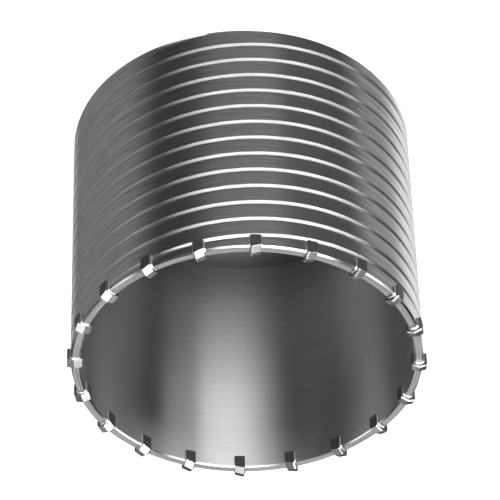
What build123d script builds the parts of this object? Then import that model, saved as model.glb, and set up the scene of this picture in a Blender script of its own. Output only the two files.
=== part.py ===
from build123d import *
from math import ceil, cos, radians, tan
import os

# Carbide-tipped hollow core bit, in millimetres.
# It stands on its driven end: the origin is the middle of the back face, and +Z points to the teeth.
# Seen from the teeth the bit cuts counter-clockwise, so that side of each tip leads.

# Barrel
barrel_radius = 76.0
barrel_length = 128.0
wall = 4.0
rim_outer_bevel = 0.7
rim_inner_bevel = 0.6
back_edge_bevel = 1.0

# Spiral dust groove
groove_starts = 2
groove_lead = 18.7
groove_depth = 0.6
groove_back_flank = 1.5
groove_rim_flank = 1.0
groove_front_drop = 5.5

# Carbide tips
tip_count = 20
tip_width = 4.4
tip_seat_depth = 5.5
tip_outer_stand = 1.5
tip_inner_stand = 1.1
tip_crown_rise = 2.7
tip_roof_angle = 20.0
tip_relief_angle = 17.0
tip_front_bevel = 0.6
tip_phase = -3.7

# Back plate with its boss; the hole is drawn at the thread's minor diameter, which is smaller than
# the major one by a fixed number of pitches
plate_thickness = 10.0
plate_shoulder = 1.2
plate_fit = 0.05
plate_weld_bevel = 2.0
boss_radius = 22.0
boss_height = 16.0
thread_major = 22.0
thread_pitch = 2.5
thread_depth_pitches = 1.0825
thread_lead_in = 1.5

# Worked out from the sizes above
cut_margin = 1.0
bore_radius = barrel_radius - wall
rebate_radius = bore_radius + plate_shoulder
rim_z = barrel_length
slot_floor_z = rim_z - tip_seat_depth
tip_inner_radius = bore_radius - tip_inner_stand
tip_outer_radius = barrel_radius + tip_outer_stand
tip_ridge_radius = (tip_inner_radius + tip_outer_radius) / 2
thread_minor_radius = (thread_major - thread_depth_pitches * thread_pitch) / 2
lead_in_radius = thread_minor_radius + thread_lead_in
plate_radius = rebate_radius - plate_fit
boss_top_z = plate_thickness + boss_height


def make_groove_cutter():
    """One start of the groove: a lopsided vee swept up a helix, a turn at a time, past both ends.

    The vee is drawn at twice the groove's depth and half of it stands clear of the wall.
    """
    turns = ceil(barrel_length / groove_lead) + 2
    with BuildPart() as cutter:
        with BuildLine() as path:
            for turn in range(turns):
                Helix(
                    pitch=groove_lead,
                    height=groove_lead,
                    radius=barrel_radius,
                    center=(0, 0, (turn - 1) * groove_lead),
                )
        helix = path.wires()[0]
        with BuildSketch(Plane(origin=helix @ 0, x_dir=(1, 0, 0), z_dir=helix % 0)):
            with BuildLine():
                Polyline(
                    (-groove_depth, 0),
                    (groove_depth, -2 * groove_rim_flank),
                    (groove_depth, 2 * groove_back_flank),
                    close=True,
                )
            make_face()
        sweep(path=helix, is_frenet=True)
    return cutter.part


# Barrel: a turned tube with bevelled ends and a shoulder for the back plate
with BuildPart() as barrel:
    with BuildSketch(Plane.XZ):
        with BuildLine():
            Polyline(
                (rebate_radius, 0),
                (barrel_radius - back_edge_bevel, 0),
                (barrel_radius, back_edge_bevel),
                (barrel_radius, rim_z - rim_outer_bevel),
                (barrel_radius - rim_outer_bevel, rim_z),
                (bore_radius + rim_inner_bevel, rim_z),
                (bore_radius, rim_z - rim_inner_bevel),
                (bore_radius, plate_thickness),
                (rebate_radius, plate_thickness),
                close=True,
            )
        make_face()
    revolve(axis=Axis.Z)
    # The turn that brings a groove to its drop below the rim at the front, which is -90 degrees
    groove_turn = -90.0 - 360.0 * (rim_z - groove_front_drop) / groove_lead
    groove_cutter = make_groove_cutter()
    with PolarLocations(0, groove_starts, start_angle=groove_turn):
        add(groove_cutter, mode=Mode.SUBTRACT)
    # Slots for the tips, milled right through the wall
    with BuildSketch(Plane.XY.offset(slot_floor_z)):
        with PolarLocations(barrel_radius - wall / 2, tip_count, start_angle=tip_phase):
            Rectangle(wall + 2 * cut_margin, tip_width)
    extrude(amount=tip_seat_depth + cut_margin, mode=Mode.SUBTRACT)
barrel.part.label = "barrel"


# Carbide tip: a block with a roof across the wall, drawn on its leading face and run back along the
# relief slope, then cut flat where it sits on the floor of its slot and bevelled along its front edge
with BuildPart() as tip:
    ridge_z = rim_z + tip_crown_rise
    roof_fall = tan(radians(tip_roof_angle))
    inner_edge_z = ridge_z - (tip_ridge_radius - tip_inner_radius) * roof_fall
    outer_edge_z = ridge_z - (tip_outer_radius - tip_ridge_radius) * roof_fall
    with BuildSketch(Plane.XZ.offset(-tip_width / 2)):
        with BuildLine():
            Polyline(
                (tip_inner_radius, slot_floor_z),
                (tip_outer_radius, slot_floor_z),
                (tip_outer_radius, outer_edge_z),
                (tip_ridge_radius, ridge_z),
                (tip_inner_radius, inner_edge_z),
                close=True,
            )
        make_face()
    relief = radians(tip_relief_angle)
    extrude(amount=tip_width / cos(relief), dir=(0, -1, -tan(relief)))
    split(bisect_by=Plane.XY.offset(slot_floor_z), keep=Keep.TOP)
    leading_face = tip.faces().sort_by(Axis.Y)[-1]
    chamfer(leading_face.edges().sort_by(Axis.Z)[-2:], length=tip_front_bevel)


# Back plate: one turned disc and boss, seated against the barrel's shoulder and bevelled for its weld
with BuildPart() as back_plate:
    with BuildSketch(Plane.XZ):
        with BuildLine():
            Polyline(
                (lead_in_radius, 0),
                (plate_radius - plate_weld_bevel, 0),
                (plate_radius, plate_weld_bevel),
                (plate_radius, plate_thickness),
                (boss_radius, plate_thickness),
                (boss_radius, boss_top_z),
                (thread_minor_radius, boss_top_z),
                (thread_minor_radius, thread_lead_in),
                close=True,
            )
        make_face()
    revolve(axis=Axis.Z)
back_plate.part.label = "back_plate"


os.makedirs("parts", exist_ok=True)
export_step(barrel.part, "parts/barrel.step")
export_step(back_plate.part, "parts/back_plate.step")
for number, place in enumerate(PolarLocations(0, tip_count, start_angle=tip_phase), start=1):
    seated = tip.part.moved(place)
    seated.label = f"tip_{number:02d}"
    export_step(seated, f"parts/{seated.label}.step")
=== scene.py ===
"""Looks for the carbide-tipped hollow core bit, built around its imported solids."""

import logging
import math
from dataclasses import dataclass, field
from enum import Enum

import bmesh
import bpy
import numpy as np
from bpy.types import Material, Node, NodeSocket as Socket, NodeTree, Object
from mathutils import Matrix, Vector


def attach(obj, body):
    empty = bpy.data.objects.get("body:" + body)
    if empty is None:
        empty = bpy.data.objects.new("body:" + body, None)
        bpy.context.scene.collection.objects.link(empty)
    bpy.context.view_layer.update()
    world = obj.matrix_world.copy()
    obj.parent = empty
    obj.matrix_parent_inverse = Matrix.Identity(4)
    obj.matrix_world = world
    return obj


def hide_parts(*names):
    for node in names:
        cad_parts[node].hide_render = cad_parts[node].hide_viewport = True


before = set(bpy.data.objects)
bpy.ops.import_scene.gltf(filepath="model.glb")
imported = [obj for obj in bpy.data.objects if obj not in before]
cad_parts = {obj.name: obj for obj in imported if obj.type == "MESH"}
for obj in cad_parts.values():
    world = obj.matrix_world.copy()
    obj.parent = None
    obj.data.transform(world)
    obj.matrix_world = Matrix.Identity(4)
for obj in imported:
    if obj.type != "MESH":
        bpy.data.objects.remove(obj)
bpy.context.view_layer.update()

MM = 0.001
ROOT_BODY = "root"
# Points nearer than this, in metres, become one
WELD_DISTANCE = 1e-6

log = logging.getLogger("core_bit")


class SlotName(Enum):
    """The record's material slots."""

    BARREL = "barrel_steel"
    CARBIDE = "carbide"
    PLATE = "plate_steel"


class Pattern(Enum):
    """Whether a pattern runs round the axis or stands in grains."""

    RINGS = "rings"
    GRAINS = "grains"


# Meshes from arrays


def add_object(name: str, data: bpy.types.ID) -> Object:
    """Makes an object of some data and links it to the scene."""
    made = bpy.data.objects.new(name, data)
    bpy.context.scene.collection.objects.link(made)
    return made


@dataclass
class Surface:
    """Points and faces gathered from several grids and polygons.

    Attributes:
        points: Arrays of points in millimetres, one array for each patch.
        faces: Face corner lists, each counted from the first point of all.
        slots: Material index of each face.
        count: How many points there are.
    """

    points: list[np.ndarray] = field(default_factory=list)
    faces: list[list[int]] = field(default_factory=list)
    slots: list[int] = field(default_factory=list)
    count: int = 0

    def add_grid(self, grid: np.ndarray, keep: np.ndarray | None = None, slot: int = 0) -> None:
        """Adds a grid of quads.

        Args:
            grid: Points of shape (rows, columns, 3).
            keep: Which cells become faces, of shape (rows - 1, columns - 1), or None for all.
            slot: Material index of these faces.
        """
        rows, columns = grid.shape[:2]
        index = self.count + np.arange(rows * columns).reshape(rows, columns)
        quads = np.stack([index[:-1, :-1], index[:-1, 1:], index[1:, 1:], index[1:, :-1]], axis=-1)
        chosen = quads.reshape(-1, 4) if keep is None else quads[keep]
        self.points.append(grid.reshape(-1, 3))
        self.faces.extend(chosen.tolist())
        self.slots.extend([slot] * len(chosen))
        self.count += rows * columns

    def add_polygon(self, loop: np.ndarray, slot: int = 0) -> None:
        """Adds one flat face.

        Args:
            loop: Its corners in order, of shape (corners, 3).
            slot: Material index of the face.
        """
        self.points.append(loop)
        self.faces.append(list(range(self.count, self.count + len(loop))))
        self.slots.append(slot)
        self.count += len(loop)

    def to_object(self, name: str, sharp_degrees: float = 30.0) -> Object:
        """Makes the object, with doubled points merged and faces turned outwards.

        Args:
            name: Name of the piece.
            sharp_degrees: Edges that bend by more than this stay sharp.

        Returns:
            The new object, linked to the scene.
        """
        mesh = bpy.data.meshes.new(name)
        mesh.from_pydata((np.concatenate(self.points) * MM).tolist(), [], self.faces)
        mesh.polygons.foreach_set("material_index", self.slots)
        work = bmesh.new()
        work.from_mesh(mesh)
        bmesh.ops.remove_doubles(work, verts=work.verts, dist=WELD_DISTANCE)
        bmesh.ops.recalc_face_normals(work, faces=work.faces)
        work.to_mesh(mesh)
        work.free()
        mesh.polygons.foreach_set("use_smooth", [True] * len(mesh.polygons))
        mesh.set_sharp_from_angle(angle=math.radians(sharp_degrees))
        mesh.update()
        return add_object(name, mesh)


def polar(radius: np.ndarray, angle: np.ndarray, height: np.ndarray) -> np.ndarray:
    """Turns radius, angle and height into points.

    Args:
        radius: Distances from the axis.
        angle: Angles in radians.
        height: Heights along the axis.

    Returns:
        Points whose x is radius times the cosine, y is radius times the sine and z is the height.
    """
    radius, angle, height = np.broadcast_arrays(radius, angle, height)
    return np.stack([radius * np.cos(angle), radius * np.sin(angle), height], axis=-1)


@dataclass(frozen=True)
class HelicalProfile:
    """A profile that climbs round the axis as a screw does.

    Attributes:
        lead: Climb in one turn.
        starts: How many runs climb side by side.
        zero_angle: Angle in radians at which the first run has its zero height.
        zero_height: Height of the profile's zero there.
        across: Distances across one run, going up, at which the profile is given.
        depth: Depth of the profile at those distances.
    """

    lead: float
    starts: int
    zero_angle: float
    zero_height: float
    across: tuple[float, ...]
    depth: tuple[float, ...]

    @property
    def pitch(self) -> float:
        """Distance from one run to the next."""
        return self.lead / self.starts

    def climb(self, angle: np.ndarray) -> np.ndarray:
        """Height of the first run's zero at an angle."""
        return self.zero_height + self.lead * (angle - self.zero_angle) / math.tau

    def depth_at(self, angle: np.ndarray, height: np.ndarray) -> np.ndarray:
        """Depth of the profile at a place.

        The distance above the run's zero is taken modulo the pitch, and the depth is read from the
        profile by straight lines between its given points.

        Args:
            angle: Angles in radians.
            height: Heights along the axis.

        Returns:
            Depths below the plain surface.
        """
        first = self.across[0]
        distance = np.mod(height - self.climb(angle) - first, self.pitch) + first
        across = self.across + (first + self.pitch,)
        return np.interp(distance, across, self.depth + (self.depth[0],))

    def row_heights(self, angle: np.ndarray, low: float, high: float) -> np.ndarray:
        """Heights of grid rows that follow the runs, held between two heights.

        Each row is the climb at that angle plus whole pitches plus one of the given distances, so
        that the profile's corners fall on rows.

        Args:
            angle: Column angles in radians.
            low: Lowest height.
            high: Highest height.

        Returns:
            Heights of shape (rows, columns).
        """
        climb = self.climb(angle)
        first = math.floor((low - climb.max()) / self.pitch) - 1
        last = math.ceil((high - climb.min()) / self.pitch) + 1
        runs = np.arange(first, last + 1) * self.pitch
        base = (runs[:, None] + np.array(self.across)[None, :]).ravel()
        heights = base[:, None] + climb[None, :]
        inside = ((heights > low) & (heights < high)).any(axis=1)
        padded = inside | np.roll(inside, 1) | np.roll(inside, -1)
        return np.clip(heights[padded], low, high)


# Barrel


@dataclass
class Barrel:
    """The grooved steel tube, with the slots that hold the tips.

    Its sizes are in millimetres and degrees, and are those of the solids.

    Attributes:
        shoulder: How much wider the rebate for the back plate is than the bore.
        groove_front_drop: Distance from the rim down to a groove at the front.
        groove_rounding: How far the groove's corners are eased.
        tip_phase: Angle of the first slot.
        cells_in_slot: Columns of the mesh across a slot.
        cells_between: Columns of the mesh from one slot to the next.
    """

    radius: float = 76.0
    length: float = 128.0
    wall: float = 4.0
    rim_outer_bevel: float = 0.7
    rim_inner_bevel: float = 0.6
    back_bevel: float = 1.0
    shoulder: float = 1.2
    shoulder_height: float = 10.0
    groove_lead: float = 18.7
    groove_starts: int = 2
    groove_front_drop: float = 5.5
    groove_depth: float = 0.6
    groove_back_flank: float = 1.5
    groove_rim_flank: float = 1.0
    groove_rounding: float = 0.12
    tip_count: int = 20
    tip_width: float = 4.4
    tip_phase: float = -3.7
    slot_depth: float = 5.5
    cells_in_slot: int = 2
    cells_between: int = 14
    bore_rows: int = 9

    @property
    def bore_radius(self) -> float:
        """Inner radius of the wall."""
        return self.radius - self.wall

    @property
    def slot_floor(self) -> float:
        """Height of the slots' floors."""
        return self.length - self.slot_depth

    def groove(self) -> HelicalProfile:
        """The spiral groove: a lopsided vee with slightly eased corners.

        Returns:
            The profile, whose zero is the deepest line of the vee.
        """
        # Rows lie on both sides of each corner of the vee, and three more on the land that follows
        ease = self.groove_rounding
        back, rim, deep = self.groove_back_flank, self.groove_rim_flank, self.groove_depth
        eased = deep * ease / back
        pitch = self.groove_lead / self.groove_starts
        land = np.linspace(rim + 4 * ease, pitch - back - 4 * ease, 4)
        across = (-back - 3 * ease, -back - ease, -back + ease, -ease, 0.0, 1.4 * ease)
        across += (rim - ease, rim + ease)
        depth = (0.0, 0.0, eased, deep - eased, deep - 0.6 * eased, deep - eased)
        depth += (deep * ease / rim, 0.0)
        return HelicalProfile(
            lead=self.groove_lead,
            starts=self.groove_starts,
            zero_angle=-math.pi / 2,
            zero_height=self.length - self.groove_front_drop,
            across=across + tuple(land[:-1]),
            depth=depth + (0.0,) * (len(land) - 1),
        )

    def column_angles(self, radius: float) -> np.ndarray:
        """Angles of the grid's columns at a radius.

        Two of each sector lie on the slot's flat sides, at the angle whose sine is the slot's half
        width over the radius.

        Args:
            radius: Distance from the axis at which the columns are wanted.

        Returns:
            Angles in radians, once round, with the first repeated a turn later at the end.
        """
        sector = math.tau / self.tip_count
        edge = math.asin(self.tip_width / 2 / radius)
        inside = np.linspace(-edge, edge, self.cells_in_slot + 1)
        between = np.linspace(edge, sector - edge, self.cells_between + 1)[1:-1]
        one = np.concatenate([inside, between])
        middles = math.radians(self.tip_phase) + sector * np.arange(self.tip_count)
        angles = (middles[:, None] + one[None, :]).ravel()
        return np.append(angles, angles[0] + math.tau)

    def outside_slots(self, rows: int) -> np.ndarray:
        """Marks the cells that are not in a slot.

        Args:
            rows: How many rows of cells.

        Returns:
            True outside the slots, of shape (rows, columns).
        """
        cells = self.cells_in_slot + self.cells_between
        column = np.arange(cells * self.tip_count) % cells
        return np.broadcast_to(column >= self.cells_in_slot, (rows, column.size))

    def outer_radius(self, angle: np.ndarray, height: np.ndarray) -> np.ndarray:
        """Radius of the outer wall, the least of the grooved wall and the two bevels.

        Args:
            angle: Angles in radians.
            height: Heights along the axis.

        Returns:
            Radii at those places.
        """
        grooved = self.radius - self.groove().depth_at(angle, height)
        rim = self.radius - (height - self.length + self.rim_outer_bevel)
        back = self.radius - (self.back_bevel - height)
        return np.minimum(grooved, np.minimum(rim, back))

    def outer_band(self, low: float, high: float) -> np.ndarray:
        """Grid of the outer wall between two heights, its rows following the groove."""
        angle = self.column_angles(self.radius)
        height = self.groove().row_heights(angle, low, high)
        return polar(self.outer_radius(angle[None, :], height), angle[None, :], height)

    def rings(self, *profile: tuple[float | None, float]) -> np.ndarray:
        """Level rows of the tube.

        Args:
            *profile: Radius and height of each row, with no radius for the outer wall's own.

        Returns:
            Points of shape (rows, columns, 3).
        """
        rows = []
        for radius, height in profile:
            angle = self.column_angles(radius or self.radius)
            level = np.full(angle.shape, height)
            rows.append(polar(radius or self.outer_radius(angle, level), angle, level))
        return np.stack(rows)

    def build(self) -> Object:
        """Builds the tube.

        Returns:
            The barrel as one closed mesh.
        """
        surface = Surface()
        rim, bore = self.length, self.bore_radius
        surface.add_grid(self.outer_band(self.back_bevel, self.slot_floor))
        upper = self.outer_band(self.slot_floor, rim - self.rim_outer_bevel)
        surface.add_grid(upper, self.outside_slots(len(upper) - 1))
        middle, rebate = self.radius - self.wall / 2, bore + self.shoulder
        over = self.rings(
            (None, rim - self.rim_outer_bevel),
            (None, rim - self.rim_outer_bevel / 2),
            (None, rim),
            (middle, rim),
            (bore + self.rim_inner_bevel, rim),
            (bore, rim - self.rim_inner_bevel),
            (bore, self.slot_floor),
        )
        surface.add_grid(over[:-1], self.outside_slots(len(over) - 2))
        surface.add_grid(over[-2:], self.outside_slots(1), slot=1)
        bore_heights = np.linspace(self.slot_floor, self.shoulder_height, self.bore_rows)
        surface.add_grid(self.rings(*((bore, height) for height in bore_heights)), slot=1)
        back = self.rings(
            (bore, self.shoulder_height),
            (rebate, self.shoulder_height),
            (rebate, 0.0),
            (None, 0.0),
            (None, self.back_bevel / 2),
            (None, self.back_bevel),
        )
        surface.add_grid(back)
        self.add_slot_walls(surface, upper, over)
        return surface.to_object("barrel_turned")

    def add_slot_walls(self, surface: Surface, upper: np.ndarray, over: np.ndarray) -> None:
        """Adds the floor and the two sides of each slot.

        Args:
            surface: Surface to add to.
            upper: Grid of the outer wall above the slots' floors.
            over: Grid that goes over the rim and down the bore to the floors.
        """
        cells = self.cells_in_slot + self.cells_between
        for first in range(0, cells * self.tip_count, cells):
            last = first + self.cells_in_slot
            surface.add_grid(np.stack([upper[0, first : last + 1], over[-1, first : last + 1]]))
            for column in (first, last):
                loop = np.concatenate([upper[:, column], over[1:, column]])
                moved = np.linalg.norm(np.diff(loop, axis=0), axis=1) > WELD_DISTANCE / MM
                surface.add_polygon(loop[np.append(True, moved)])


# Tips and the braze round them


@dataclass
class CarbideTips:
    """The brazed tips: blocks with a roof across the wall that falls back from a bevelled front.

    Attributes:
        barrel: The barrel whose slots they fill.
        outer_stand: How far they stand out of the outer wall.
        inner_stand: How far they stand into the bore.
        crown_rise: How far they stand beyond the rim.
        braze_leg: How far the fillet of braze reaches along the wall.
        braze_height: How far it climbs up the tip.
        braze_inner_share: Its size in the bore, as a share of that outside.
        braze_sink: How far its line lies inside the wall.
        braze_root: How far its body goes below that line.
        braze_overlap: How far its body goes into the tip.
        braze_waves: How often each wave of its swelling goes round, and its share of the size.
    """

    barrel: Barrel
    outer_stand: float = 1.5
    inner_stand: float = 1.1
    crown_rise: float = 2.7
    roof_angle: float = 20.0
    relief_angle: float = 17.0
    front_bevel: float = 0.6
    edge_ease: float = 0.1
    braze_leg: float = 0.55
    braze_height: float = 0.5
    braze_inner_share: float = 0.75
    braze_sink: float = 0.03
    braze_root: float = 0.15
    braze_overlap: float = 0.1
    braze_waves: tuple[tuple[int, float], ...] = ((3, 0.16), (7, 0.1), (17, 0.05))
    braze_steps: int = 7

    def section(self, back: float, drop: float = 0.0) -> np.ndarray:
        """Five corners of the tip at a distance behind its leading face.

        The crown falls back from the leading face by the tangent of the relief angle, and from its
        ridge to both sides by the tangent of the roof angle.

        Args:
            back: Distance behind the leading face.
            drop: How far the three crown corners lie below the crown.

        Returns:
            Points of the pattern tip, from the inner foot out and round over the crown.
        """
        inner = self.barrel.bore_radius - self.inner_stand
        outer = self.barrel.radius + self.outer_stand
        ridge = (inner + outer) / 2
        floor = self.barrel.slot_floor
        fall = back * math.tan(math.radians(self.relief_angle))
        top = self.barrel.length + self.crown_rise - fall - drop
        side = top - math.tan(math.radians(self.roof_angle)) * (outer - ridge)
        along = self.barrel.tip_width / 2 - back
        profile = [(inner, floor), (outer, floor), (outer, side), (ridge, top), (inner, side)]
        return np.array([(radius, along, height) for radius, height in profile])

    def turned(self, points: np.ndarray, number: int) -> np.ndarray:
        """Points of the pattern tip, turned to the place of a numbered tip."""
        phase = math.radians(self.barrel.tip_phase)
        angle = phase + math.tau * (number - 1) / self.barrel.tip_count
        cos, sin = math.cos(angle), math.sin(angle)
        return points @ np.array([[cos, sin, 0], [-sin, cos, 0], [0, 0, 1]])

    def build_tip(self, number: int) -> Object:
        """Builds one tip with eased edges.

        Three sections make it: the leading face, the cutting edge behind the front bevel and the
        trailing face. The two flat sides are closed along all three.

        Args:
            number: Which tip, from 1.

        Returns:
            The tip.
        """
        bevel = self.front_bevel
        leading = self.turned(self.section(0.0, bevel), number)
        cutting = self.turned(self.section(bevel), number)
        trailing = self.turned(self.section(self.barrel.tip_width), number)
        surface = Surface()
        surface.add_polygon(leading)
        surface.add_polygon(trailing)
        surface.add_polygon(np.stack([leading[0], leading[1], trailing[1], trailing[0]]))
        for foot, top in ((0, 4), (1, 2)):
            corners = [leading[foot], leading[top], cutting[top], trailing[top], trailing[foot]]
            surface.add_polygon(np.stack(corners))
        for start in (2, 3):
            for near, far in ((leading, cutting), (cutting, trailing)):
                loop = np.stack([near[start], near[start + 1], far[start + 1], far[start]])
                surface.add_polygon(loop, slot=1)
        piece = surface.to_object(f"carbide_{number:02d}")
        ease = piece.modifiers.new("eased_edges", "BEVEL")
        ease.width = self.edge_ease * MM
        ease.segments = 2
        ease.limit_method = "ANGLE"
        ease.angle_limit = math.radians(20)
        return piece

    def braze_path(self) -> tuple[np.ndarray, np.ndarray, np.ndarray]:
        """The closed line where the pattern tip meets the wall.

        It runs up the outer wall, over the rim and down the bore on one side of the tip, and back
        on the other, with a few points on each stretch.

        Returns:
            Points of the line, directions along the wall away from the tip, and the wall's normals.
        """
        half = self.barrel.tip_width / 2
        outer = self.barrel.radius - self.braze_sink
        inner = self.barrel.bore_radius - self.braze_sink
        floor, rim = self.barrel.slot_floor, self.barrel.length
        over = self.barrel.rim_outer_bevel
        # Radius, height, the wall's normal, and a turn downwards at the slot's floor
        out, up, inward = (1, 0, 0), (0, 0, 1), (-1, 0, 0)
        half_round = [
            (outer, floor, out, -1),
            (outer, rim - over, out, 0),
            (outer - over, rim, up, 0),
            (inner + over, rim, up, 0),
            (inner, rim - over, inward, 0),
            (inner, floor, inward, -1),
        ]
        line, away, normal = [], [], []
        for side, stretch in ((1, half_round), (-1, half_round[::-1])):
            for radius, height, facing, down in stretch:
                line.append((radius, side * half, height))
                away.append((0, side, down))
                normal.append(facing)
        share = np.arange(self.braze_steps) / self.braze_steps

        def spread(corners: list[tuple[float, ...]]) -> np.ndarray:
            """Values between each corner and the next, in equal steps."""
            values = np.array(corners, float)
            steps = (np.roll(values, -1, axis=0) - values)[:, None] * share[None, :, None]
            return (values[:, None] + steps).reshape(-1, 3)

        return spread(line), spread(away), spread(normal)

    def build_braze(self, number: int, random: np.random.Generator) -> Object:
        """Builds the fillet of braze round one tip.

        A hollow quarter curve is carried along the line where the tip meets the wall. It swells and
        shrinks along the way by a few slow waves.

        Args:
            number: Which tip, from 1.
            random: Source of the waves' sizes and phases.

        Returns:
            The fillet.
        """
        line, side, normal = self.braze_path()
        count = len(line)
        along = np.arange(count) / count * math.tau
        phases = random.uniform(0, math.tau, len(self.braze_waves))
        swell = np.ones(count)
        for (times_round, size), phase in zip(self.braze_waves, phases):
            swell = swell + size * np.sin(times_round * along + phase)
        inside = line[:, 0] < self.barrel.radius - self.barrel.wall / 2
        swell = swell * np.where(inside, self.braze_inner_share, 1.0)
        turn = np.linspace(0, math.pi / 2, 6)
        leg, height = self.braze_leg, self.braze_height
        curve = list(zip((1 - np.sin(turn)) * leg, (1 - np.cos(turn)) * height))
        foot = (leg, -self.braze_root)
        overlap, root = -self.braze_overlap, -self.braze_root
        section = [foot] + curve + [(overlap, height), (overlap, root), foot]
        rows = [line + swell[:, None] * (a * side + b * normal) for a, b in section]
        grid = np.stack([np.append(row, row[:1], axis=0) for row in rows])
        surface = Surface()
        surface.add_grid(self.turned(grid.reshape(-1, 3), number).reshape(grid.shape))
        return surface.to_object(f"braze_{number:02d}", sharp_degrees=50)


# Back plate


@dataclass
class BackPlate:
    """The turned disc and boss that close the driven end, with the arbor's thread.

    Its sizes are in millimetres, and are those of the solids but for the details that only show.

    Attributes:
        boss_height: How far the boss stands beyond the disc.
        fillet_middle: How far the middle of the boss's fillet stands off the corner.
        ring_radii: Radii of the rings that part the back face and the inner face.
        bead_ripples: How many crescents the weld bead has.
        bead_sink: How far its edges lie inside the back face.
        bead_arch: How far its middle stands out from there.
        bead_crescent: How far the crescents stand out.
        bead_sway: How far it swells and shrinks along the way.
        bead_bow: How far the crescents are bowed, as an angle of their phase.
        bead_steps: Columns of the mesh to a crescent.
    """

    radius: float = 73.15
    thickness: float = 10.0
    weld_bevel: float = 2.0
    boss_radius: float = 22.0
    boss_height: float = 16.0
    boss_bevel: float = 1.5
    thread_major: float = 22.0
    thread_pitch: float = 2.5
    thread_depth_pitches: float = 1.0825
    thread_lead_in: float = 1.5
    boss_fillet: float = 0.8
    fillet_middle: float = 0.25
    mouth_flat: float = 0.5
    ring_radii: tuple[float, float] = (45.0, 48.0)
    columns: int = 144
    bead_ripples: int = 150
    bead_outer: float = 73.25
    bead_inner: float = 70.9
    bead_sink: float = 0.42
    bead_arch: float = 0.22
    bead_crescent: float = 0.12
    bead_sway: float = 0.05
    bead_bow: float = 2.2
    bead_root_inset: float = 0.3
    bead_steps: int = 6
    bead_rows: int = 9

    @property
    def minor_radius(self) -> float:
        """Radius of the hole between the thread's grooves."""
        return (self.thread_major - self.thread_depth_pitches * self.thread_pitch) / 2

    @property
    def top(self) -> float:
        """Height of the boss's end."""
        return self.thickness + self.boss_height

    def thread(self) -> HelicalProfile:
        """The thread: a vee, flat for 1/8 of the pitch at its root and 1/4 at its crest."""
        pitch = self.thread_pitch
        depth = self.thread_major / 2 - self.minor_radius
        return HelicalProfile(
            lead=pitch,
            starts=1,
            zero_angle=0.0,
            zero_height=0.0,
            across=(-pitch * 3 / 8, -pitch / 16, pitch / 16, pitch * 3 / 8),
            depth=(0.0, depth, depth, 0.0),
        )

    def bore_grid(self, angle: np.ndarray) -> np.ndarray:
        """Grid of the threaded hole.

        The radius is the most of the thread's and of the two lead-in cones, which narrow to the
        minor radius at 45 degrees.

        Args:
            angle: Column angles in radians.

        Returns:
            Points of shape (rows, columns, 3), from the boss's end to the back face.
        """
        thread = self.thread()
        height = thread.row_heights(angle, 0.0, self.top)[::-1]
        cone = self.minor_radius + self.thread_lead_in
        threaded = self.minor_radius + thread.depth_at(angle[None, :], height)
        open_end = np.maximum(cone - height, cone - (self.top - height))
        return polar(np.maximum(threaded, open_end), angle[None, :], height)

    def build(self) -> Object:
        """Builds the disc, boss and threaded hole as one closed turned mesh.

        Returns:
            The back plate.
        """
        angle = np.linspace(0, math.tau, self.columns + 1)
        cone = self.minor_radius + self.thread_lead_in
        back_ring, inner_ring = self.ring_radii
        disc, boss, thick, top = self.radius, self.boss_radius, self.thickness, self.top
        profile = [
            (cone, 0.0),
            (cone + self.mouth_flat, 0.0),
            (back_ring, 0.0),
            (disc - self.weld_bevel, 0.0),
            (disc, self.weld_bevel),
            (disc, thick),
            (inner_ring, thick),
            (boss + self.boss_fillet, thick),
            (boss + self.fillet_middle, thick + self.fillet_middle),
            (boss, thick + self.boss_fillet),
            (boss, top - self.boss_bevel),
            (boss - self.boss_bevel, top),
            (cone + self.mouth_flat, top),
            (cone, top),
        ]
        rings = np.stack([polar(radius, angle, height) for radius, height in profile])
        surface = Surface()
        surface.add_grid(rings)
        surface.add_grid(self.bore_grid(angle))
        return surface.to_object("back_plate_turned", sharp_degrees=28)

    def build_bead(self) -> Object:
        """Builds the weld bead that fills the bevel between plate and barrel.

        Its face is a shallow arch across the bevel, with crescents that follow one another round
        the plate: their phase is their number times the angle, less a bow across the bead.

        Returns:
            The bead.
        """
        angle = np.linspace(0, math.tau, self.bead_ripples * self.bead_steps + 1)
        across = np.linspace(0, 1, self.bead_rows)
        arch = np.sin(across * math.pi)
        phase = self.bead_ripples * angle[None, :] - self.bead_bow * arch[:, None]
        crescent = 0.5 + 0.5 * np.sin(phase)
        sway = 0.5 + 0.5 * np.sin(7 * angle)[None, :] * np.sin(3 * angle + 1)[None, :]
        stand = self.bead_arch + self.bead_crescent * crescent + self.bead_sway * sway
        height = self.bead_sink - arch[:, None] * stand
        radius = self.bead_inner + (self.bead_outer - self.bead_inner) * across
        face = polar(np.broadcast_to(radius[:, None], height.shape), angle[None, :], height)
        root_radius = self.bead_outer - self.bead_root_inset
        root = polar(np.full(angle.shape, root_radius), angle, self.weld_bevel)
        surface = Surface()
        surface.add_grid(np.concatenate([face, root[None], face[:1]]))
        return surface.to_object("weld_bead", sharp_degrees=50)


# Shared effects, as node groups


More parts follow.
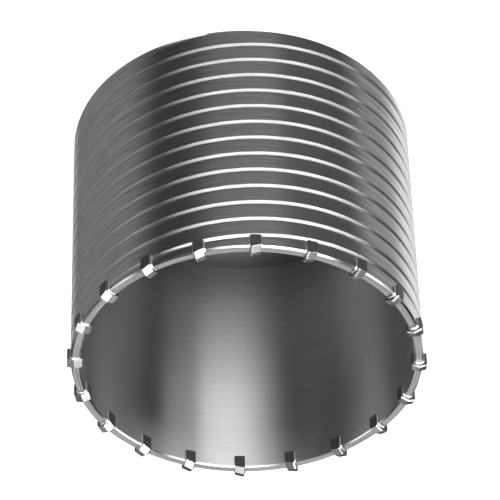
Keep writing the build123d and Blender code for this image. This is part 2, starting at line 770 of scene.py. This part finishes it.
class NodeBook:
    """Short ways of placing and joining nodes in one tree."""

    def __init__(self, tree: NodeTree) -> None:
        """Keeps the tree that nodes go into."""
        self.tree = tree

    def node(self, kind: str, **settings: object) -> Node:
        """Places a node.

        Args:
            kind: Its type's name.
            **settings: Attributes to set on it.

        Returns:
            The node.
        """
        made = self.tree.nodes.new(kind)
        for name, value in settings.items():
            setattr(made, name, value)
        return made

    def feed(self, target: Socket, value: object) -> None:
        """Joins a socket to the target, or sets the target's value."""
        if isinstance(value, Socket):
            self.tree.links.new(value, target)
        else:
            target.default_value = value

    def fill(self, made: Node, values: dict[str | int, object]) -> Node:
        """Feeds a node's inputs, by their names or places, and gives the node."""
        for key, value in values.items():
            self.feed(made.inputs[key], value)
        return made

    def math(self, operation: str, *values: object, clamp: bool = False) -> Socket:
        """Works out a number from up to three others."""
        made = self.node("ShaderNodeMath", operation=operation, use_clamp=clamp)
        return self.fill(made, dict(enumerate(values))).outputs[0]

    def times(self, first: object, second: object) -> Socket:
        """The product of two numbers."""
        return self.math("MULTIPLY", first, second)

    def distance(self, x: object, y: object) -> Socket:
        """Distance from the axis."""
        return self.math("SQRT", self.math("ADD", self.times(x, x), self.times(y, y)))

    def ramp(
        self, value: object, low: object, high: object, to_low: float, to_high: float
    ) -> Socket:
        """Moves a number from one range to another, smoothly, and holds it at the ends."""
        made = self.node("ShaderNodeMapRange", interpolation_type="SMOOTHSTEP")
        return self.fill(made, dict(enumerate((value, low, high, to_low, to_high)))).outputs[0]

    def mix(self, share: object, first: object, second: object) -> Socket:
        """Mixes two colours by a share from 0 to 1."""
        made = self.node("ShaderNodeMix", data_type="RGBA", clamp_factor=True)
        return self.fill(made, {0: share, 6: first, 7: second}).outputs[2]

    def parts(self, vector: Socket) -> tuple[Socket, ...]:
        """The three numbers of a vector."""
        return tuple(self.fill(self.node("ShaderNodeSeparateXYZ"), {0: vector}).outputs)

    def vector(self, x: object, y: object, z: object) -> Socket:
        """A vector from three numbers."""
        return self.fill(self.node("ShaderNodeCombineXYZ"), {0: x, 1: y, 2: z}).outputs[0]

    def noise(self, vector: object, scale: object, detail: float, roughness: float = 0.5) -> Socket:
        """Cloudy noise from 0 to 1."""
        values = {"Vector": vector, "Scale": scale, "Detail": detail, "Roughness": roughness}
        return self.fill(self.node("ShaderNodeTexNoise"), values).outputs["Fac"]

    def group(self, tree: NodeTree, **values: object) -> Node:
        """Places a node group and feeds its inputs."""
        return self.fill(self.node("ShaderNodeGroup", node_tree=tree), values)


# Tool rings and the wider bands among them, as cycles to a metre, and how much of y goes with x
# where the rings break
RINGS_PER_METRE = 5200.0
BANDS_PER_METRE = 620.0
BREAK_LEAN = 0.8

# Value of the cloud at which smudges start with no cover, how far full cover lowers it, and the
# width of their edges in that value
SMUDGE_START = 0.85
SMUDGE_REACH = 0.5
SMUDGE_EDGE = 0.16

# Share of the colour that a smudge takes, and how much rougher it makes the metal
SMUDGE_STRENGTH = 0.35
SMUDGE_ROUGHNESS = 0.12

# Turn, as a share of a whole one, that draws reflections out across the rings
ACROSS_RINGS = 0.25

# Distance from its middle, as a share of a cell, at which a pit ends
PIT_SIZE = 0.28


def new_group(
    name: str, inputs: dict[str, tuple[str, object]], outputs: dict[str, str]
) -> tuple[NodeTree, NodeBook, Node, Node]:
    """Starts a shader node group with named sockets.

    Args:
        name: Name of the group.
        inputs: Input name to its socket type and default value.
        outputs: Output name to its socket type.

    Returns:
        The group, a book for its nodes, and its input and output nodes.
    """
    group = bpy.data.node_groups.new(name, "ShaderNodeTree")
    for label, (kind, default) in inputs.items():
        socket = group.interface.new_socket(name=label, in_out="INPUT", socket_type=kind)
        if default is not None:
            socket.default_value = default
    for label, kind in outputs.items():
        group.interface.new_socket(name=label, in_out="OUTPUT", socket_type=kind)
    book = NodeBook(group)
    return group, book, book.node("NodeGroupInput"), book.node("NodeGroupOutput")


def make_turning_group() -> NodeTree:
    """Fine tool rings of turned metal.

    Noise is read at a point made of the distance from the axis and the height, both much enlarged,
    and of x and y barely enlarged, so that it changes fast across the rings and slowly along them.

    Returns:
        The group, with the outputs Rings and Bands from 0 to 1.
    """
    inputs = {
        "Vector": ("NodeSocketVector", None),
        "Fineness": ("NodeSocketFloat", 1.0),
        "Breaks": ("NodeSocketFloat", 9.0),
    }
    outputs = {"Rings": "NodeSocketFloat", "Bands": "NodeSocketFloat"}
    group, book, entry, leave = new_group("turning_rings", inputs, outputs)
    x, y, z = book.parts(entry.outputs["Vector"])
    radius = book.distance(x, y)
    along = book.times(book.math("ADD", x, book.times(y, BREAK_LEAN)), entry.outputs["Breaks"])
    fine = book.times(entry.outputs["Fineness"], RINGS_PER_METRE)
    for label, scale, detail in (("Rings", fine, 2.0), ("Bands", BANDS_PER_METRE, 3.0)):
        across = book.vector(book.times(radius, scale), book.times(z, scale), along)
        book.feed(leave.inputs[label], book.noise(across, 1.0, detail))
    return group


def make_smudge_group() -> NodeTree:
    """Soft patches left by handling and oil.

    Returns:
        The group, with the output Mask from 0 to 1.
    """
    inputs = {
        "Vector": ("NodeSocketVector", None),
        "Scale": ("NodeSocketFloat", 30.0),
        "Cover": ("NodeSocketFloat", 0.5),
    }
    group, book, entry, leave = new_group("handling_smudges", inputs, {"Mask": "NodeSocketFloat"})
    cloud = book.noise(entry.outputs["Vector"], entry.outputs["Scale"], 4.0, 0.55)
    low = book.math("SUBTRACT", SMUDGE_START, book.times(entry.outputs["Cover"], SMUDGE_REACH))
    high = book.math("ADD", low, SMUDGE_EDGE)
    book.feed(leave.inputs["Mask"], book.ramp(cloud, low, high, 0.0, 1.0))
    return group


def make_grain_group() -> NodeTree:
    """Grain of a pressed, cast or melted metal.

    Returns:
        The group, with the outputs Grain and Pits from 0 to 1.
    """
    inputs = {"Vector": ("NodeSocketVector", None), "Scale": ("NodeSocketFloat", 3000.0)}
    outputs = {"Grain": "NodeSocketFloat", "Pits": "NodeSocketFloat"}
    group, book, entry, leave = new_group("metal_grain", inputs, outputs)
    place = {name: entry.outputs[name] for name in ("Vector", "Scale")}
    cells = book.fill(book.node("ShaderNodeTexVoronoi"), place)
    grain = book.noise(*place.values(), 3.0, 0.6)
    pits = book.ramp(cells.outputs["Distance"], 0.0, PIT_SIZE, 1.0, 0.0)
    book.fill(leave, {"Grain": grain, "Pits": pits})
    return group


class Effects:
    """The shared node groups, made once."""

    def __init__(self) -> None:
        """Makes each group."""
        self.turning = make_turning_group()
        self.smudges = make_smudge_group()
        self.grain = make_grain_group()


# Finishes


@dataclass(frozen=True)
class MetalFinish:
    """How one metal surface looks.

    Attributes:
        dark: Colour of its darker streaks or grain.
        pattern: Whether it shows turning rings or grain.
        rough_swing: How much the roughness changes with the pattern.
        bump: Depth of the pattern in metres.
        stretch: How far reflections are drawn out across the rings, from 0 to 1.
        fineness: How close the rings are.
        breaks: How many times a metre the rings change along their length.
        grain_scale: Grains to a metre.
        smudge_cover: Share of the surface that handling has smudged.
        smudge_and_groove_shade_colour: Colour of smudges, and of the painted shade in the groove.
        groove_painted_shade: How strongly painted shade darkens the bottom of the groove.
        groove_radius: Radius of the wall that the groove is cut in, in millimetres.
        groove_depth: Its depth in millimetres.
        painted_shade_cover: How strongly painted shade darkens the metal deep in the bore, towards
            the back plate.
        painted_shade_clear: Height at which the painted shade starts, in millimetres.
        painted_shade_full: Height at which it is strongest.
    """

    name: str
    colour: tuple[float, float, float]
    dark: tuple[float, float, float]
    roughness: float
    pattern: Pattern = Pattern.GRAINS
    rough_swing: float = 0.06
    bump: float = 2e-6
    stretch: float = 0.0
    fineness: float = 1.0
    breaks: float = 9.0
    grain_scale: float = 2600.0
    smudge_cover: float = 0.45
    smudge_and_groove_shade_colour: tuple[float, float, float] = (0.3, 0.29, 0.27)
    groove_painted_shade: float = 0.0
    groove_radius: float = 76.0
    groove_depth: float = 0.6
    painted_shade_cover: float = 0.0
    painted_shade_clear: float = 0.0
    painted_shade_full: float = 0.0
    # Colour of the painted shade deep in the bore.
    painted_shade_colour: tuple[float, float, float] = (0.095, 0.095, 0.1)

    def make(self, effects: Effects) -> Material:
        """Builds the material.

        Args:
            effects: The shared node groups.

        Returns:
            The material.
        """
        material = bpy.data.materials.new(self.name)
        material.use_nodes = True
        tree = material.node_tree
        book = NodeBook(tree)
        shader = tree.nodes["Principled BSDF"]
        place = book.node("ShaderNodeTexCoord").outputs["Object"]
        streaks, height = self.pattern_masks(book, effects, place)
        smudges = book.group(effects.smudges, Vector=place, Cover=self.smudge_cover)
        smudge = book.times(smudges.outputs["Mask"], SMUDGE_STRENGTH)
        colour = book.mix(streaks, self.colour + (1.0,), self.dark + (1.0,))
        colour = book.mix(smudge, colour, self.smudge_and_groove_shade_colour + (1.0,))
        # Painted shade: the bottom of the groove is darkened, where shade falls.
        if self.groove_painted_shade > 0:
            colour = book.mix(self.groove_shade_mask(book, place), colour, self.smudge_and_groove_shade_colour + (1.0,))
        # Painted shade: the metal darkens towards the back plate, deep in the bore, where shade
        # falls.
        if self.painted_shade_cover > 0:
            clear, full = self.painted_shade_clear * MM, self.painted_shade_full * MM
            scale = book.ramp(book.parts(place)[2], clear, full, 0.0, self.painted_shade_cover)
            colour = book.mix(scale, colour, self.painted_shade_colour + (1.0,))
        rough = book.math("MULTIPLY_ADD", streaks, self.rough_swing, self.roughness)
        rough = book.math("MULTIPLY_ADD", smudge, SMUDGE_ROUGHNESS, rough, clamp=True)
        relief = {"Strength": 1.0, "Distance": self.bump, "Height": height}
        values = {
            "Base Color": colour,
            "Roughness": rough,
            "Normal": book.fill(book.node("ShaderNodeBump"), relief).outputs["Normal"],
            "Metallic": 1.0,
            "Anisotropic": self.stretch,
            "Anisotropic Rotation": ACROSS_RINGS,
        }
        book.fill(shader, values)
        return material

    def pattern_masks(
        self, book: NodeBook, effects: Effects, place: Socket
    ) -> tuple[Socket, Socket]:
        """Places the finish's pattern.

        Args:
            book: Book of the material's nodes.
            effects: The shared node groups.
            place: Object coordinates.

        Returns:
            A mask of the darker streaks or grain, and the pattern's height.
        """
        if self.pattern is Pattern.RINGS:
            turning = book.group(
                effects.turning, Vector=place, Fineness=self.fineness, Breaks=self.breaks
            )
            rings, bands = turning.outputs["Rings"], turning.outputs["Bands"]
            both = book.math("ADD", book.times(rings, 0.6), book.times(bands, 0.4))
            return book.ramp(both, 0.3, 0.7, 0.0, 1.0), rings
        grain = book.group(effects.grain, Vector=place, Scale=self.grain_scale)
        height = book.math("SUBTRACT", grain.outputs["Grain"], grain.outputs["Pits"])
        return book.ramp(grain.outputs["Grain"], 0.35, 0.7, 0.0, 1.0), height

    def groove_shade_mask(self, book: NodeBook, place: Socket) -> Socket:
        """Painted shade in the deepest part of the groove, by the distance from the axis."""
        x, y, _ = book.parts(place)
        radius = book.distance(x, y)
        wall, depth = self.groove_radius * MM, self.groove_depth * MM
        deep = wall - depth
        below = book.ramp(radius, deep, wall - 0.7 * depth, self.groove_painted_shade, 0.0)
        on_outside = book.ramp(radius, deep - 0.4 * MM, deep - 0.2 * MM, 0.0, 1.0)
        return book.times(below, on_outside)


@dataclass(frozen=True)
class Finishes:
    """Every finish: its name, colour, darker colour and roughness, and then what else it has."""

    barrel: MetalFinish = MetalFinish(
        "turned_barrel_steel", (0.88, 0.88, 0.88), (0.53, 0.53, 0.535), 0.18,
        pattern=Pattern.RINGS, rough_swing=0.04, bump=8e-7, stretch=0.8, fineness=0.5,
        # The groove's bottom takes painted shade.
        breaks=45.0, groove_painted_shade=0.5,
    )
    bore: MetalFinish = MetalFinish(
        "drawn_bore_steel", (0.54, 0.54, 0.54), (0.49, 0.49, 0.495), 0.3,
        # The bore darkens towards the back plate by painted shade.
        pattern=Pattern.RINGS, rough_swing=0.02, bump=5e-7, stretch=1.0, painted_shade_cover=0.5,
        painted_shade_clear=42.0, painted_shade_full=8.0,
    )
    plate: MetalFinish = MetalFinish(
        "turned_plate_steel", (0.78, 0.78, 0.79), (0.62, 0.62, 0.63), 0.36,
        # The plate's inner face and boss, deep in the bore, darken by painted shade.
        pattern=Pattern.RINGS, fineness=0.3, bump=4e-6, painted_shade_cover=0.76, painted_shade_clear=9.0,
        painted_shade_full=9.9,
    )
    sintered: MetalFinish = MetalFinish(
        "sintered_carbide", (0.165, 0.165, 0.17), (0.11, 0.11, 0.114), 0.42,
        bump=6e-6,
    )
    ground: MetalFinish = MetalFinish(
        "ground_carbide", (0.94, 0.94, 0.95), (0.84, 0.84, 0.85), 0.24,
        bump=8e-7, grain_scale=5000.0,
    )
    braze: MetalFinish = MetalFinish(
        "silver_braze", (0.94, 0.93, 0.9), (0.82, 0.81, 0.77), 0.3,
        bump=2e-5, grain_scale=900.0,
    )
    weld: MetalFinish = MetalFinish(
        "weld_metal", (0.58, 0.58, 0.59), (0.39, 0.39, 0.415), 0.4,
        bump=2e-5, grain_scale=1400.0,
    )


# Studio


@dataclass(frozen=True)
class Panel:
    """A soft-edged panel of light far from the object.

    Attributes:
        left: Azimuth of its left edge in degrees, counted from the front towards the frame's right.
        right: Azimuth of its right edge.
        low: Lowest height in degrees above the horizon.
        high: Greatest height.
        strength: How bright it is.
        left_fade: How many degrees its left edge takes to fade in.
        right_fade: How many degrees its right edge takes to fade out.
        level_fade: How many degrees its top and bottom take to fade.
    """

    left: float
    right: float
    low: float
    high: float
    strength: float
    left_fade: float
    right_fade: float
    level_fade: float

    def mask(self, book: NodeBook, azimuth: Socket, height: Socket) -> Socket:
        """Brightness that the panel adds in a direction.

        Args:
            book: Book of the world's nodes.
            azimuth: Azimuth of the direction in degrees.
            height: Height of the direction in degrees.

        Returns:
            The strength times four soft steps.
        """
        after_left = book.ramp(azimuth, self.left - self.left_fade, self.left, 0.0, self.strength)
        before_right = book.ramp(azimuth, self.right, self.right + self.right_fade, 1.0, 0.0)
        above = book.ramp(height, self.low - self.level_fade, self.low, 0.0, 1.0)
        below = book.ramp(height, self.high, self.high + self.level_fade, 1.0, 0.0)
        return book.times(book.times(after_left, before_right), book.times(above, below))


@dataclass
class Studio:
    """Floor, lights and camera.

    Attributes:
        camera_place: Where the camera stands, in millimetres.
        yaw: How far the view is turned from straight ahead, in degrees.
        pitch: How far the view looks down, in degrees.
        roll: Roll of the frame from upside down, in degrees.
        focal_pixels: Focal length in pixels of the frame.
        clip: Nearest and farthest distances that the camera sees, in metres.
        floor_half: Half the floor's width in metres.
        floor_lift: What the floor adds to itself before the camera alone.
        lamp_place: Where the lamp hangs, in metres.
        lamp_power: Its power in watts.
        base_light: Light from every direction.
        panels: The panels of light far from the object.
    """

    camera_place: tuple[float, float, float] = (0.0, -1067.7, 1013.4)
    yaw: float = 0.143
    pitch: float = 41.691
    roll: float = -1.782
    focal_pixels: float = 3222.5
    frame_pixels: float = 500.0
    sensor: float = 36.0
    clip: tuple[float, float] = (0.01, 50.0)
    floor_half: float = 4.0
    floor_grey: float = 0.85
    floor_roughness: float = 0.9
    floor_lift: float = 0.45
    lamp_place: tuple[float, float, float] = (0.1, 0.2, 1.8)
    lamp_aim: tuple[float, float, float] = (0.0, 0.0, 0.08)
    lamp_size: float = 0.9
    lamp_power: float = 2.8
    base_light: float = 0.035
    # Left, right, low, high, strength, left fade, right fade, level fade
    panels: tuple[Panel, ...] = (
        # The key and its edge, for the white lines of the groove and the bright band in the bore
        Panel(14, 30, 20, 36, 18.0, 42, 4, 10),
        Panel(34, 54, 20, 37, 5.2, 4, 6, 10),
        # Low strips at the front, right and left
        Panel(-12, 70, -4, 7, 4.5, 42, 18, 6),
        Panel(38, 66, -4, 7, 2.8, 14, 22, 6),
        Panel(-110, -64, -6, 6, 1.2, 20, 20, 8),
        # Below the floor, seen only in the metal's reflections of it
        Panel(-12, 20, -90, -20, 0.09, 26, 16, 8),
        Panel(98, 120, -90, -28, 0.29, 24, 30, 7),
        Panel(142, 160, -90, -28, 0.9, 28, 15, 7),
        Panel(-135, -85, -90, -22, 0.175, 20, 30, 8),
        Panel(-180, -158, -90, -22, 0.56, 1, 12, 8),
        # Behind, and to both sides
        Panel(150, 180, 24, 44, 0.48, 15, 1, 10),
        Panel(-180, -150, 24, 44, 0.48, 1, 15, 10),
        Panel(-94, -76, 32, 44, 1.4, 12, 4, 8),
        Panel(82, 106, 32, 45, 3.5, 5, 8, 7),
        # Overhead
        Panel(-10, 50, 40, 48, 1.55, 15, 15, 8),
        Panel(125, 136, 49, 57, 1.05, 4, 5, 4),
        Panel(-180, 180, 63, 90, 1.0, 1, 1, 8),
    )

    def add_camera(self) -> None:
        """Adds the camera, turned over so that the teeth point down, as in the photograph."""
        yaw, pitch, roll = (math.radians(a) for a in (self.yaw, self.pitch, self.roll))
        level = math.cos(pitch)
        forward = Vector((math.sin(yaw) * level, math.cos(yaw) * level, math.sin(pitch)))
        right = forward.cross(Vector((0, 0, 1))).normalized()
        up = right.cross(forward)
        cos, sin = math.cos(roll), math.sin(roll)
        right, up = right * cos + up * sin, up * cos - right * sin
        turn_over = Matrix(((-1, 0, 0), (0, 1, 0), (0, 0, -1)))
        pose = (turn_over @ Matrix((right, up, -forward)).transposed()).to_4x4()
        pose.translation = Vector(self.camera_place) * MM
        data = bpy.data.cameras.new("camera")
        data.sensor_width = self.sensor
        data.lens = self.focal_pixels / self.frame_pixels * self.sensor
        data.clip_start, data.clip_end = self.clip
        camera = add_object("camera", data)
        camera.matrix_world = pose
        bpy.context.scene.camera = camera

    def add_lamp(self) -> None:
        """Adds the soft square lamp overhead."""
        data = bpy.data.lights.new("top_soft", "AREA")
        data.shape = "SQUARE"
        data.size = self.lamp_size
        data.energy = self.lamp_power
        lamp = add_object("top_soft", data)
        lamp.location = self.lamp_place
        aim = Vector(self.lamp_aim) - Vector(self.lamp_place)
        lamp.rotation_euler = aim.to_track_quat("-Z", "Y").to_euler()

    def add_floor(self) -> None:
        """Adds the pale floor, which looks white to the camera and keeps the object's shadow."""
        mesh = bpy.data.meshes.new("floor")
        half = self.floor_half
        corners = [(-half, -half, 0), (half, -half, 0), (half, half, 0), (-half, half, 0)]
        mesh.from_pydata(corners, [], [(0, 1, 2, 3)])
        floor = add_object("floor", mesh)
        material = bpy.data.materials.new("pale_floor")
        material.use_nodes = True
        book = NodeBook(material.node_tree)
        shader = material.node_tree.nodes["Principled BSDF"]
        seen = book.node("ShaderNodeLightPath").outputs["Is Camera Ray"]
        values = {
            "Base Color": (self.floor_grey,) * 3 + (1.0,),
            "Roughness": self.floor_roughness,
            "Emission Color": (1.0, 1.0, 1.0, 1.0),
            "Emission Strength": book.times(seen, self.floor_lift),
        }
        book.fill(shader, values)
        mesh.materials.append(material)
        floor.visible_glossy = False

    def add_world(self) -> None:
        """Adds the light from all round: white to the camera, and soft panels to the metal."""
        world = bpy.data.worlds.new("studio")
        world.use_nodes = True
        bpy.context.scene.world = world
        book = NodeBook(world.node_tree)
        back = world.node_tree.nodes["Background"]
        path = book.node("ShaderNodeLightPath")
        direction = book.node("ShaderNodeTexCoord").outputs["Generated"]
        x, y, z = book.parts(direction)
        degrees = 180 / math.pi
        turned = book.math("ARCTAN2", book.times(x, -1.0), book.times(y, -1.0))
        azimuth = book.times(turned, degrees)
        height = book.times(book.math("ARCSINE", z), degrees)
        light: Socket | float = self.base_light
        for panel in self.panels:
            light = book.math("ADD", light, panel.mask(book, azimuth, height))
        grey = book.vector(light, light, light)
        seen = book.mix(path.outputs["Is Camera Ray"], grey, (1.0, 1.0, 1.0, 1.0))
        book.feed(back.inputs["Color"], seen)
        back.inputs["Strength"].default_value = 1.0

    def build(self) -> None:
        """Sets up the whole studio."""
        self.add_camera()
        self.add_floor()
        self.add_world()
        self.add_lamp()
        bpy.context.scene.view_settings.view_transform = "Standard"


# The whole bit


@dataclass
class CoreBit:
    """Builds, dresses and attaches every piece.

    Attributes:
        barrel: The grooved tube.
        plate: The back plate.
        finishes: The finishes.
        seed: Start of the random numbers.
    """

    barrel: Barrel = field(default_factory=Barrel)
    plate: BackPlate = field(default_factory=BackPlate)
    finishes: Finishes = field(default_factory=Finishes)
    seed: int = 20

    def attach(self, piece: Object, materials: list[Material], slot: SlotName, *nodes: str) -> None:
        """Dresses a piece and ties it to the frame.

        Args:
            piece: The piece.
            materials: Its materials, in the order of its faces' material indices.
            slot: The record's slot for its finish. Not used.
            *nodes: Solids of the frame that it stands for.
        """
        for material in materials:
            piece.data.materials.append(material)
        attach(piece, ROOT_BODY)
        if nodes:
            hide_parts(*nodes)
        stands_for = ", ".join(nodes) or "no solid"
        log.info("%s: %d faces, stands for %s", piece.name, len(piece.data.polygons), stands_for)

    def build(self) -> None:
        """Builds the barrel, plate, bead, tips and braze in turn."""
        effects = Effects()
        finishes = self.finishes
        random = np.random.default_rng(self.seed)
        plate_metal = finishes.plate.make(effects)
        barrel_metals = [finishes.barrel.make(effects), finishes.bore.make(effects)]
        self.attach(self.barrel.build(), barrel_metals, SlotName.BARREL, "barrel")
        self.attach(self.plate.build(), [plate_metal], SlotName.PLATE, "back_plate")
        self.attach(self.plate.build_bead(), [finishes.weld.make(effects)], SlotName.PLATE)
        tips = CarbideTips(self.barrel)
        carbide = [finishes.sintered.make(effects), finishes.ground.make(effects)]
        braze = finishes.braze.make(effects)
        for number in range(1, self.barrel.tip_count + 1):
            self.attach(tips.build_tip(number), carbide, SlotName.CARBIDE, f"tip_{number:02d}")
            self.attach(tips.build_braze(number, random), [braze], SlotName.BARREL)


def main() -> None:
    """Builds the bit and its studio."""
    logging.basicConfig(level=logging.INFO, format="%(name)s: %(message)s")
    CoreBit().build()
    Studio().build()


if __name__ == "__main__":
    main()
